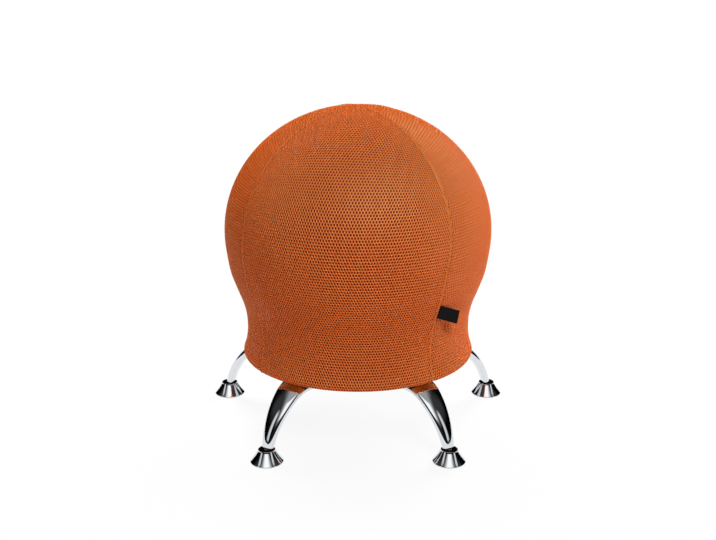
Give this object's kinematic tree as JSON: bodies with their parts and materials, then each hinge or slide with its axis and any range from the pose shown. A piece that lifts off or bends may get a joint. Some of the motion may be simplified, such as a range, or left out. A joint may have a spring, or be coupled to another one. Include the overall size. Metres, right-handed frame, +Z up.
{
  "type": "balance ball chair",
  "caption": "Backless seat made of an inflated ball under a stretched mesh cover, on a round pan with bent, chromed oval-tube legs that end in tilting bell feet.",
  "frame": {"origin": "on the floor, in the middle of the rectangle that the feet stand in; the upright middle line of the ball and the pan stands 25.7 mm in front of it, towards -Y", "axes": "+Z up; -Y is the front, as in the picture; +X to the right seen from the front"},
  "size_m": [0.5696, 0.5446, 0.5865],
  "materials": {
    "chrome": "polished chrome plate",
    "zinc_steel": "zinc-plated",
    "nylon": "moulded nylon",
    "pan": "fine-grained polypropylene",
    "rubber": "matte rubber",
    "ball_skin": "satin PVC",
    "elastic": "braided elastic",
    "tape": "woven tape",
    "mesh": "perforated stretch mesh"
  },
  "bodies": {
    "frame_and_seat": {"leg_front_right": "chrome", "leg_end_plug_front_right": "nylon", "leg_screw_inner_front_right": "zinc_steel", "screw_insert_inner_front_right": "zinc_steel", "leg_screw_outer_front_right": "zinc_steel", "screw_insert_outer_front_right": "zinc_steel", "leg_side_right": "chrome", "leg_end_plug_side_right": "nylon", "leg_screw_inner_side_right": "zinc_steel", "screw_insert_inner_side_right": "zinc_steel", "leg_screw_outer_side_right": "zinc_steel", "screw_insert_outer_side_right": "zinc_steel", "leg_rear": "chrome", "leg_end_plug_rear": "nylon", "leg_screw_inner_rear": "zinc_steel", "screw_insert_inner_rear": "zinc_steel", "leg_screw_outer_rear": "zinc_steel", "screw_insert_outer_rear": "zinc_steel", "leg_side_left": "chrome", "leg_end_plug_side_left": "nylon", "leg_screw_inner_side_left": "zinc_steel", "screw_insert_inner_side_left": "zinc_steel", "leg_screw_outer_side_left": "zinc_steel", "screw_insert_outer_side_left": "zinc_steel", "leg_front_left": "chrome", "leg_end_plug_front_left": "nylon", "leg_screw_inner_front_left": "zinc_steel", "screw_insert_inner_front_left": "zinc_steel", "leg_screw_outer_front_left": "zinc_steel", "screw_insert_outer_front_left": "zinc_steel", "base_pan": "pan", "cradle_edging": "rubber", "ball": "ball_skin", "hem_elastic": "elastic", "label_tab": "tape", "cover_panel_right": "mesh", "cover_panel_back": "mesh", "cover_panel_left": "mesh", "cover_panel_front": "mesh"},
    "stud_front_right": {"glide_stud_front_right": "zinc_steel"},
    "foot_front_right": {"foot_bell_front_right": "chrome", "foot_glide_front_right": "nylon"},
    "stud_side_right": {"glide_stud_side_right": "zinc_steel"},
    "foot_side_right": {"foot_bell_side_right": "chrome", "foot_glide_side_right": "nylon"},
    "stud_rear": {"glide_stud_rear": "zinc_steel"},
    "foot_rear": {"foot_bell_rear": "chrome", "foot_glide_rear": "nylon"},
    "stud_side_left": {"glide_stud_side_left": "zinc_steel"},
    "foot_side_left": {"foot_bell_side_left": "chrome", "foot_glide_side_left": "nylon"},
    "stud_front_left": {"glide_stud_front_left": "zinc_steel"},
    "foot_front_left": {"foot_bell_front_left": "chrome", "foot_glide_front_left": "nylon"},
    "valve_plug": {"valve_plug": "nylon"}
  },
  "joints": [
    {"name": "levelling_front_right", "type": "slide", "parent": "frame_and_seat", "child": "stud_front_right", "axis": [0.1322, -0.182, -0.9744], "range_m": [0, 0.005]},
    {"name": "bell_tilt_front_right", "type": "hinge", "parent": "stud_front_right", "child": "foot_front_right", "pos_m": [0.15811, -0.24331, 0.012], "axis": [0.809, 0.5878, 0], "range_deg": [-12, 7]},
    {"name": "levelling_side_right", "type": "slide", "parent": "frame_and_seat", "child": "stud_side_right", "axis": [0.2139, 0.0695, -0.9744], "range_m": [0, 0.005]},
    {"name": "bell_tilt_side_right", "type": "hinge", "parent": "stud_side_right", "child": "foot_side_right", "pos_m": [0.25583, 0.05744, 0.012], "axis": [-0.309, 0.9511, 0], "range_deg": [-12, 7]},
    {"name": "levelling_rear", "type": "slide", "parent": "frame_and_seat", "child": "stud_rear", "axis": [0, 0.225, -0.9744], "range_m": [0, 0.005]},
    {"name": "bell_tilt_rear", "type": "hinge", "parent": "stud_rear", "child": "foot_rear", "pos_m": [0, 0.24331, 0.012], "axis": [-1, 0, 0], "range_deg": [-12, 7]},
    {"name": "levelling_side_left", "type": "slide", "parent": "frame_and_seat", "child": "stud_side_left", "axis": [-0.2139, 0.0695, -0.9744], "range_m": [0, 0.005]},
    {"name": "bell_tilt_side_left", "type": "hinge", "parent": "stud_side_left", "child": "foot_side_left", "pos_m": [-0.25583, 0.05744, 0.012], "axis": [-0.309, -0.9511, 0], "range_deg": [-12, 7]},
    {"name": "levelling_front_left", "type": "slide", "parent": "frame_and_seat", "child": "stud_front_left", "axis": [-0.1322, -0.182, -0.9744], "range_m": [0, 0.005]},
    {"name": "bell_tilt_front_left", "type": "hinge", "parent": "stud_front_left", "child": "foot_front_left", "pos_m": [-0.15811, -0.24331, 0.012], "axis": [0.809, -0.5878, 0], "range_deg": [-12, 7]},
    {"name": "valve_plug_pull", "type": "slide", "parent": "frame_and_seat", "child": "valve_plug", "axis": [0, 0, -1], "range_m": [0, 0.02]}
  ]
}
